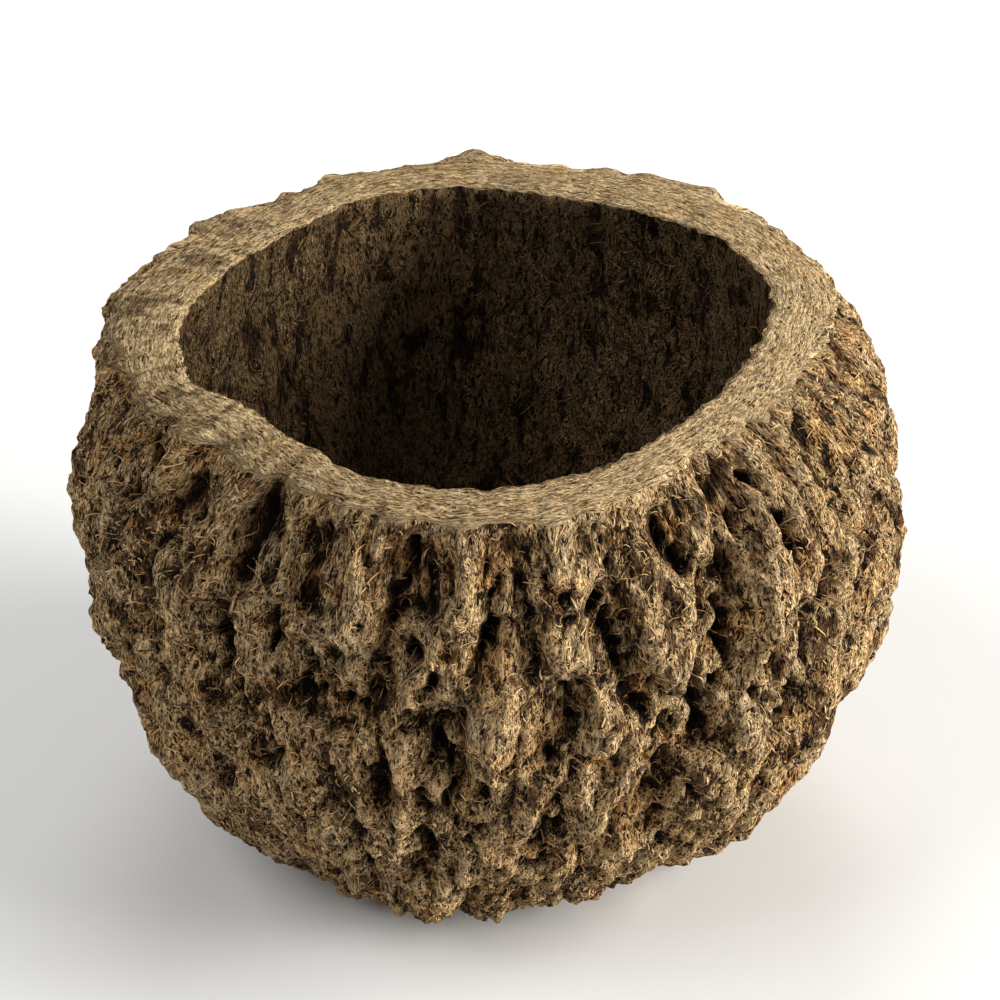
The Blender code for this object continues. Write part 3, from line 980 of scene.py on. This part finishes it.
def traced(patch, drawn, stations):
    """Places and normals along strands that wander over a patch from where they start."""
    normals = grid_normals(patch.points)
    row_step = np.linalg.norm(np.diff(patch.points, axis=0), axis=-1).mean()
    turn_share = 2 * np.pi / patch.points.shape[1]
    row, column = drawn.row, drawn.column
    step = drawn.length / (stations - 1)
    places, facing = [], []
    for station in range(stations):
        place = sampled(patch.points, row, column)
        places.append(place)
        facing.append(sampled(normals, row, column))
        swirl = SWIRL * lattice_noise(place / SWIRL_SPACING + SWIRL_START)
        way = drawn.heading + swirl + drawn.curl * station
        radius = np.maximum(np.hypot(place[:, 0], place[:, 1]), MM)
        row = row + step * np.cos(way) / row_step
        column = column + step * np.sin(way) / (radius * turn_share)
    return np.stack(places, axis=1), np.stack(facing, axis=1)


def strand_points(patch, drawn, stations):
    """A point at both ends of each strand, and flattened rings of points between them."""
    place, normal = traced(patch, drawn, stations)
    share = np.linspace(0, 1, stations)
    arch = drawn.lift[:, None] * np.sin(np.pi * share)
    over = arch + drawn.loose[:, None] * share**2 - STRAND_SINK
    centre = place + normal * over[..., None]
    run = unit(np.gradient(centre, axis=1))
    side = unit(np.cross(run, normal))
    up = np.cross(side, run)
    thick = drawn.radius[:, None] * np.sin(np.pi * share) ** STRAND_TAPER
    turns = np.arange(STRAND_SIDES)[:, None] * 2 * np.pi / STRAND_SIDES
    inner = slice(1, -1)
    ways = np.cos(turns) * side[:, inner, None]
    ways = ways + STRAND_FLATNESS * np.sin(turns) * up[:, inner, None]
    rings = centre[:, inner, None] + thick[:, inner, None, None] * ways
    rings = rings.reshape(len(centre), -1, 3)
    return np.concatenate([centre[:, :1], rings, centre[:, -1:]], axis=1)


def strand_piece(name, patch, kind, rows, columns, shift, material):
    """Closed three-sided fibres, tapered at both ends, lying on a patch of the body."""
    drawn = drawn_strands(kind, rows, columns)
    points = strand_points(patch, drawn, kind.rings + 2)
    faces, corners = strand_faces(kind.rings)
    each = points.shape[1]
    number = np.arange(kind.count)
    faces = faces + number[:, None, None] * each
    cells = int(np.ceil(np.sqrt(kind.count)))
    cell = np.stack([number % cells, number // cells], axis=-1)
    corners = (cell[:, None, None] + CELL_MARGIN + (1 - 2 * CELL_MARGIN) * corners) / cells
    pit = sampled(patch.pit, drawn.row, drawn.column)
    values = {"shade": np.repeat(drawn.shade, each), "pit": np.repeat(pit, each)}
    points = points.reshape(-1, 3) - shift
    faces = faces.reshape(-1, 3).tolist()
    return mesh_piece(name, points, faces, corners.reshape(-1, 2), values, [material])


def strand_faces(rings):
    """Triangles of one strand, and their corners within its cell of the sheet."""
    last = 1 + rings * STRAND_SIDES
    faces, corners = [], []
    for side in range(STRAND_SIDES):
        beside = (side + 1) % STRAND_SIDES
        left, right = side / STRAND_SIDES, (side + 1) / STRAND_SIDES
        height = np.linspace(0, 1, rings + 2)
        faces.append((0, 1 + beside, 1 + side))
        corners.append(((left, 0), (right, height[1]), (left, height[1])))
        for ring in range(rings - 1):
            low, high = 1 + ring * STRAND_SIDES, 1 + (ring + 1) * STRAND_SIDES
            bottom, top = height[ring + 1], height[ring + 2]
            faces.append((low + side, low + beside, high + beside))
            corners.append(((left, bottom), (right, bottom), (right, top)))
            faces.append((low + side, high + beside, high + side))
            corners.append(((left, bottom), (right, top), (left, top)))
        low = 1 + (rings - 1) * STRAND_SIDES
        faces.append((low + side, low + beside, last))
        corners.append(((left, height[-2]), (right, height[-2]), (right, 1)))
    return np.array(faces), np.array(corners)


# Shader nodes


def add(tree, kind, **settings):
    node = tree.nodes.new("ShaderNode" + kind)
    for name, value in settings.items():
        setattr(node, name, value)
    return node


def feed(tree, socket, value):
    """Links a socket to another one, or sets its plain value."""
    if isinstance(value, bpy.types.NodeSocket):
        tree.links.new(value, socket)
    else:
        socket.default_value = value


def worked(tree, operation, first, second=0.0, clamp=False):
    """One sum on two values."""
    node = add(tree, "Math", operation=operation, use_clamp=clamp)
    feed(tree, node.inputs[0], first)
    feed(tree, node.inputs[1], second)
    return node.outputs[0]


def weighed(tree, kind, masks):
    """A start, plus each of the named masks times its weight."""
    total = kind.start
    for name, weight in kind.weights.items():
        total = worked(tree, "ADD", total, worked(tree, "MULTIPLY", masks[name], weight))
    return total


def worked_vector(tree, operation, first, second):
    node = add(tree, "VectorMath", operation=operation)
    feed(tree, node.inputs[0], first)
    feed(tree, node.inputs["Scale" if operation == "SCALE" else 1], second)
    return node.outputs[0]


def noise(tree, place, scale, detail=2.0, roughness=0.5, output="Fac"):
    node = add(tree, "TexNoise")
    feed(tree, node.inputs["Vector"], place)
    feed(tree, node.inputs["Scale"], scale)
    node.inputs["Detail"].default_value = detail
    node.inputs["Roughness"].default_value = roughness
    return node.outputs[output]


def spread(tree, value, low, high):
    """A value from 0 at low to 1 at high, and no further."""
    node = add(tree, "MapRange", interpolation_type="SMOOTHSTEP")
    feed(tree, node.inputs["Value"], value)
    node.inputs["From Min"].default_value = low
    node.inputs["From Max"].default_value = high
    return node.outputs[0]


def ramp(tree, value, stops):
    """A colour by value. Each stop is a place between 0 and 1 and a colour."""
    node = add(tree, "ValToRGB")
    points = node.color_ramp.elements
    while len(points) < len(stops):
        points.new(0.5)
    for point, (place, colour) in zip(points, stops):
        point.position = place
        point.color = colour
    feed(tree, node.inputs["Fac"], value)
    return node.outputs["Color"]


def mixed(tree, share, first, second, way="MIX"):
    node = add(tree, "Mix", data_type="RGBA", blend_type=way)
    feed(tree, node.inputs[0], share)
    feed(tree, node.inputs[6], first)
    feed(tree, node.inputs[7], second)
    return node.outputs[2]


def group(name, inputs, outputs):
    """An empty node group with named sockets, and its two end nodes."""
    tree = bpy.data.node_groups.new(name, "ShaderNodeTree")
    for label, kind, value in inputs:
        socket = tree.interface.new_socket(label, in_out="INPUT", socket_type="NodeSocket" + kind)
        socket.default_value = value
    for label in outputs:
        tree.interface.new_socket(label, in_out="OUTPUT", socket_type="NodeSocketFloat")
    return tree, tree.nodes.new("NodeGroupInput"), tree.nodes.new("NodeGroupOutput")


def use(tree, made, **inputs):
    """A node group placed in a material. Its input names are given with _ for each space."""
    node = add(tree, "Group")
    node.node_tree = made
    for name, value in inputs.items():
        feed(tree, node.inputs[name.replace("_", " ")], value)
    return node.outputs


def stored(tree, name, output="Fac"):
    node = add(tree, "Attribute", attribute_name=name)
    return node.outputs[output]


def centred_noise(tree, place, scale, size):
    """A push in a random direction that changes from place to place."""
    push = noise(tree, place, scale, CURL_DETAIL, output="Color")
    push = worked_vector(tree, "SUBTRACT", push, (0.5, 0.5, 0.5))
    return worked_vector(tree, "SCALE", push, size)


def line_mask(tree, place, width):
    """1 on thin wandering lines, and 0 away from them."""
    value = noise(tree, place, 1.0, CURL_DETAIL)
    away = worked(tree, "ABSOLUTE", worked(tree, "SUBTRACT", value, 0.5))
    return spread(tree, away, width, 0.0)


def elsewhere(tree, place, stretch, start):
    """The same places stretched, in another part of the noise."""
    return worked_vector(tree, "ADD", worked_vector(tree, "MULTIPLY", place, stretch), start)


def fibre_grain_group():
    """Curled fibres that run along the pod, with a tone of their own, and slits between them."""
    tree, entry, leave = group(
        "fibre_grain",
        (
            ("Place", "Vector", (0, 0, 0)),
            ("Per Metre", "Vector", SKIN_GRAIN["Per_Metre"]),
            ("Curl", "Float", SKIN_GRAIN["Curl"]),
            ("Curls Per Metre", "Float", SKIN_GRAIN["Curls_Per_Metre"]),
            ("Openness", "Float", 0.0),
        ),
        ("Fibres", "Slits", "Tone"),
    )
    place, per_metre, curl, curls, openness = entry.outputs[:5]
    pushed = worked_vector(tree, "ADD", place, centred_noise(tree, place, curls, curl))
    tight_rate = worked(tree, "MULTIPLY", curls, TIGHTER_CURLS)
    tight = centred_noise(tree, place, tight_rate, worked(tree, "MULTIPLY", curl, TIGHT_CURL))
    grid = worked_vector(tree, "MULTIPLY", worked_vector(tree, "ADD", pushed, tight), per_metre)
    lines = 0.0
    for stretch, start, width, lightness in FIBRE_LAYERS:
        layer = line_mask(tree, elsewhere(tree, grid, stretch, start), width)
        lines = worked(tree, "MAXIMUM", lines, worked(tree, "MULTIPLY", layer, lightness))
    blots = noise(tree, elsewhere(tree, grid, *BLOTS), 1.0, **FINE_NOISE)
    blots = worked(tree, "ADD", blots, openness)
    blots = worked(tree, "ADD", blots, worked(tree, "MULTIPLY", lines, FIBRE_OVER_BLOT))
    blots = spread(tree, blots, *BLOT_EDGES)
    chinks = line_mask(tree, elsewhere(tree, grid, *CHINKS), CHINK_WIDTH)
    chinks = worked(tree, "MULTIPLY", chinks, worked(tree, "SUBTRACT", 1.0, lines))
    chinks = worked(tree, "MULTIPLY", chinks, CHINK_DARKNESS)
    feed(tree, leave.inputs["Fibres"], lines)
    feed(tree, leave.inputs["Slits"], worked(tree, "MAXIMUM", blots, chinks))
    feed(tree, leave.inputs["Tone"], noise(tree, grid, TONE_RATE, **FINE_NOISE))
    return tree


def weathering_group():
    """Patches where the skin has gone grey, has stayed rusty or has rotted open."""
    tree, entry, leave = group("weathering", (("Place", "Vector", (0, 0, 0)),), AGEING)
    for name, kind in AGEING.items():
        place = elsewhere(tree, entry.outputs["Place"], kind.stretch, kind.start)
        value = noise(tree, place, kind.per_metre, kind.detail, kind.roughness)
        feed(tree, leave.inputs[name], spread(tree, value, kind.low, kind.high))
    return tree


def bumped(tree, shader, height, distance):
    bump = add(tree, "Bump")
    bump.inputs["Distance"].default_value = distance
    feed(tree, bump.inputs["Height"], height)
    feed(tree, shader.inputs["Normal"], bump.outputs["Normal"])


def new_material(name):
    """A dry, dull material; gives its node tree and shader."""
    material = bpy.data.materials.new(name)
    material.use_nodes = True
    shader = material.node_tree.nodes["Principled BSDF"]
    shader.inputs["Specular IOR Level"].default_value = SPECULAR
    return material, material.node_tree, shader


def body_masks(tree, groups, grain, openness):
    """Everything by which a finish of the body varies: depth, age and grain, each by its name."""
    place = stored(tree, "place", "Vector")
    aged = use(tree, groups["weather"], Place=place)
    masks = {name: aged[name] for name in AGEING}
    masks["pit"] = stored(tree, "pit")
    masks["gap"] = stored(tree, "gap")
    slits = weighed(tree, openness, masks)
    fibres = use(tree, groups["grain"], Place=place, Openness=slits, **grain)
    return place, masks | {name: fibres[name] for name in ("Fibres", "Slits", "Tone")}


def shown(tree, masks, name, share):
    """How strongly a kind of patch is shown."""
    return worked(tree, "MULTIPLY", masks[name], share)


def finish_off(tree, shader, colour, dark, masks, distance):
    """Paints shade into the openings, and gives the shader its colour, roughness and relief."""
    # Painted shade: the openings and the dark mask go near-black
    openings = worked(tree, "MAXIMUM", dark, masks["Slits"])
    openings = worked(tree, "MULTIPLY", openings, OPENING_DARKNESS)
    feed(tree, shader.inputs["Base Color"], mixed(tree, openings, colour, PAINTED_SHADE_BLACK))
    feed(tree, shader.inputs["Roughness"], weighed(tree, ROUGHNESS, masks))
    height = worked(tree, "SUBTRACT", weighed(tree, GRAIN_HEIGHT, masks), openings)
    bumped(tree, shader, height, distance)


def weathered_skin(groups):
    """Rotted outer skin: tan fibres over brown, grey and rusty patches; pits painted near-black as
    shade.
    """
    material, tree, shader = new_material("weathered_skin")
    _, masks = body_masks(tree, groups, SKIN_GRAIN, SKIN_OPENNESS)
    pit, gap = masks["pit"], masks["gap"]
    colour = ramp(tree, weighed(tree, SKIN_LIGHTNESS, masks), SKIN_SHADES)
    colour = mixed(tree, shown(tree, masks, "Grey", SKIN_GREY), colour, GREYING, "MULTIPLY")
    rusty = shown(tree, masks, "Rusty", spread(tree, pit, *RUSTY_PITS))
    colour = mixed(tree, rusty, colour, WARMING, "MULTIPLY")
    # Rot patches, plus painted shade that darkens the pits like rot
    rot_and_pit_shade = worked(tree, "MAXIMUM", masks["Rotten"], spread(tree, pit, *BROWN_PIT_SHADE))
    colour = mixed(tree, rot_and_pit_shade, colour, ROT_AND_PIT_SHADE, "MULTIPLY")
    # Painted shade: near-black in the deepest pits and gaps
    deep = worked(tree, "MAXIMUM", spread(tree, pit, *BLACK_PIT_SHADE), spread(tree, gap, *BLACK_GAP_SHADE))
    finish_off(tree, shader, colour, deep, masks, SKIN_BUMP)
    return material


def cut_rim(groups):
    """Sawn end of the fibres: light tan, streaked round the mouth, with darker patches on the left.
    """
    material, tree, shader = new_material("cut_rim")
    place, masks = body_masks(tree, groups, RIM_GRAIN, RIM_OPENNESS)
    colour = ramp(tree, weighed(tree, RIM_LIGHTNESS, masks), RIM_SHADES)
    colour = mixed(tree, shown(tree, masks, "Grey", RIM_GREY), colour, GREYING, "MULTIPLY")
    colour = mixed(tree, shown(tree, masks, "Rusty", RIM_RUSTY), colour, WARMING, "MULTIPLY")
    across = add(tree, "SeparateXYZ")
    feed(tree, across.inputs[0], place)
    left = worked(tree, "MULTIPLY", spread(tree, across.outputs["X"], *LEFT_DARKENING_EDGES), LEFT_DARKENING)
    rim_darkening = shown(tree, masks, "Rotten", worked(tree, "ADD", left, DARKENING_ELSEWHERE))
    colour = mixed(tree, rim_darkening, colour, ROT_AND_PIT_SHADE, "MULTIPLY")
    finish_off(tree, shader, colour, 0.0, masks, RIM_BUMP)
    return material


def matted_lining(groups):
    """Inside of the hollow: dark matted fibres, lighter on the fibres, painted shade where it lies
    low.
    """
    material, tree, shader = new_material("matted_lining")
    _, masks = body_masks(tree, groups, LINING_GRAIN, LINING_OPENNESS)
    colour = ramp(tree, weighed(tree, LINING_LIGHTNESS, masks), LINING_SHADES)
    colour = mixed(tree, shown(tree, masks, "Rusty", LINING_RUSTY), colour, WARMING, "MULTIPLY")
    colour = mixed(tree, masks["Rotten"], colour, ROT_AND_PIT_SHADE, "MULTIPLY")
    finish_off(tree, shader, colour, 0.0, masks, LINING_BUMP)
    return material


def loose_fibre(groups, name, shades):
    """Single fibres, each a little different in tone, with painted shade where they lie in a pit.
    """
    material, tree, shader = new_material(name)
    place = add(tree, "TexCoord").outputs["Object"]
    tone = use(tree, groups["grain"], Place=place, **LOOSE_GRAIN)["Tone"]
    masks = {"Tone": tone, "shade": stored(tree, "shade"), "pit": stored(tree, "pit")}
    level = worked(tree, "ADD", weighed(tree, LOOSE_LIGHTNESS, masks), clamp=True)
    feed(tree, shader.inputs["Base Color"], ramp(tree, level, shades))
    feed(tree, shader.inputs["Roughness"], weighed(tree, LOOSE_ROUGHNESS, {"level": level}))
    bumped(tree, shader, tone, LOOSE_BUMP)
    return material


# The surroundings


def plain_floor():
    """A pale floor, a little whiter away from the pod: painted light."""
    material, tree, shader = new_material("pale_floor")
    away = add(tree, "VectorMath", operation="LENGTH")
    feed(tree, away.inputs[0], add(tree, "TexCoord").outputs["Object"])
    far = spread(tree, away.outputs["Value"], *FLOOR_FADE)
    feed(tree, shader.inputs["Base Color"], mixed(tree, far, FLOOR_PALE, FLOOR_WHITE))
    shader.inputs["Roughness"].default_value = FLOOR_DULL
    mesh = bpy.data.meshes.new("floor")
    corners = [(FLOOR_HALF * x, FLOOR_HALF * y, 0) for x, y in ((-1, -1), (1, -1), (1, 1), (-1, 1))]
    mesh.from_pydata(corners, [], [(0, 1, 2, 3)])
    mesh.materials.append(material)
    floor = bpy.data.objects.new("floor", mesh)
    bpy.context.collection.objects.link(floor)


def soft_light(name, kind):
    light = bpy.data.lights.new(name, "AREA")
    light.size = kind.size
    light.energy = kind.watts
    light.color = kind.colour
    holder = bpy.data.objects.new(name, light)
    holder.location = kind.place
    way = Vector(kind.aim) - Vector(kind.place)
    holder.rotation_euler = way.to_track_quat("-Z", "Y").to_euler()
    bpy.context.collection.objects.link(holder)


def studio():
    """Warm soft light from the right, a wide one from the upper left, and one on the floor."""
    for name, kind in LIGHTS.items():
        soft_light(name, kind)
    world = bpy.data.worlds.new("pale_room")
    world.use_nodes = True
    room = world.node_tree.nodes["Background"]
    room.inputs["Color"].default_value = (1, 1, 1, 1)
    room.inputs["Strength"].default_value = ROOM_LIGHT
    bpy.context.scene.world = world
    bpy.context.scene.view_settings.view_transform = "Standard"


def photo_camera():
    """The camera where the photograph was taken from."""
    elevation = np.radians(CAMERA_ELEVATION)
    away = Vector((0, -np.cos(elevation), np.sin(elevation)))
    camera = bpy.data.objects.new("camera", bpy.data.cameras.new("camera"))
    camera.location = Vector(CAMERA_AIM) + CAMERA_DISTANCE * away
    camera.rotation_euler = (-away).to_track_quat("-Z", "Y").to_euler()
    camera.data.sensor_width = CAMERA_SENSOR
    camera.data.lens = CAMERA_LENS
    camera.data.shift_x = CAMERA_SHIFT
    camera.data.clip_start = CAMERA_NEAR
    bpy.context.collection.objects.link(camera)
    bpy.context.scene.camera = camera


def husk(groups, shift):
    """The closed body in place of the plain husk; gives its skin, rim and lining."""
    azimuth = np.arange(COLUMNS) * 360 / COLUMNS
    skin = skin_patch(azimuth)
    rim = rim_patch(azimuth, skin)
    lining = lining_patch(azimuth[::2], rim)
    base = [base_patch(azimuth[:: 2**ring], ring) for ring in range(BASE_RINGS, 0, -1)]
    materials = [weathered_skin(groups), cut_rim(groups), matted_lining(groups)]
    body = body_piece([*base, skin, rim, lining], shift, materials)
    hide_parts("husk")
    return skin, rim, lining


def loose_fibres(groups, shift, skin, rim, lining):
    """Fibres that lie loose on the skin, in three pieces, on the rim and on the lining."""
    skin_fibre = loose_fibre(groups, "loose_skin_fibre", LOOSE_SKIN_SHADES)
    rows = (FOOT_ROWS, FLANK_ROWS - 1)
    third = COLUMNS / 3
    for number, name in enumerate(("front", "right", "left")):
        columns = ((number - 0.5) * third, (number + 0.5) * third)
        strand_piece(name + "_fibres", skin, SKIN_STRANDS, rows, columns, shift, skin_fibre)
    rim_fibre = loose_fibre(groups, "loose_rim_fibre", LOOSE_RIM_SHADES)
    rows, columns = (0, RIM_ROWS - 1), (0, COLUMNS)
    strand_piece("rim_fibres", rim, RIM_STRANDS, rows, columns, shift, rim_fibre)
    lining_fibre = loose_fibre(groups, "loose_lining_fibre", LOOSE_LINING_SHADES)
    rows, columns = (0, HOLLOW_ROWS - FLOOR_ROWS), (0, COLUMNS // 2)
    strand_piece("lining_fibres", lining, LINING_STRANDS, rows, columns, shift, lining_fibre)


def main():
    photo_camera()
    studio()
    plain_floor()
    groups = {"grain": fibre_grain_group(), "weather": weathering_group()}
    shift = plain_middle()
    skin, rim, lining = husk(groups, shift)
    loose_fibres(groups, shift, skin, rim, lining)


main()
